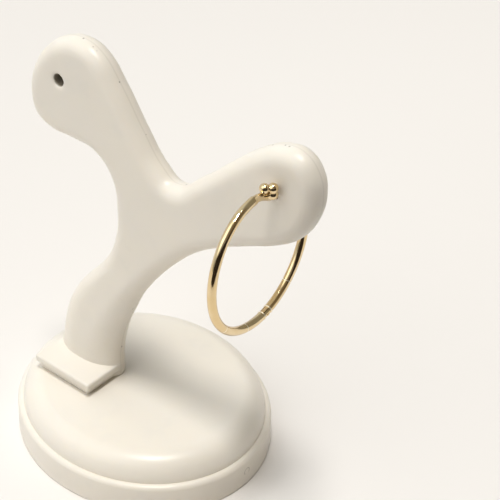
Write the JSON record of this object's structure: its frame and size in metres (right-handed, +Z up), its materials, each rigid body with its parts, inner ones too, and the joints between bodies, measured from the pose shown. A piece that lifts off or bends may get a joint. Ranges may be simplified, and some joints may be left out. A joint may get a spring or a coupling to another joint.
{
  "type": "hoop earring on display stand",
  "caption": "Polished gold hinged hoop earring with a cluster of small soldered balls, hanging on a white forked plastic display stand with an oval base",
  "frame": {"origin": "centre of the oval base's flat underside", "axes": "+Z up; +X along the fork's flat plate towards the arm that holds the earring; -Y is the front, where the earring's tip is"},
  "size_m": [0.0658, 0.046, 0.0804],
  "materials": {
    "stand_plastic": "moulded ivory white, soft gloss",
    "hoop_gold": "polished yellow gold"
  },
  "bodies": {
    "stand_and_rear": {"stand_base": "stand_plastic", "stand_fork": "stand_plastic", "hoop_rear": "hoop_gold", "hinge_pin": "hoop_gold"},
    "front_half": {"hoop_front": "hoop_gold"}
  },
  "joints": [
    {"name": "hoop_hinge", "type": "hinge", "parent": "stand_and_rear", "child": "front_half", "pos_m": [0.03252, -0.00551, 0.04722], "axis": [0.9962, 0.0872, 0], "range_deg": [0, 55]}
  ]
}
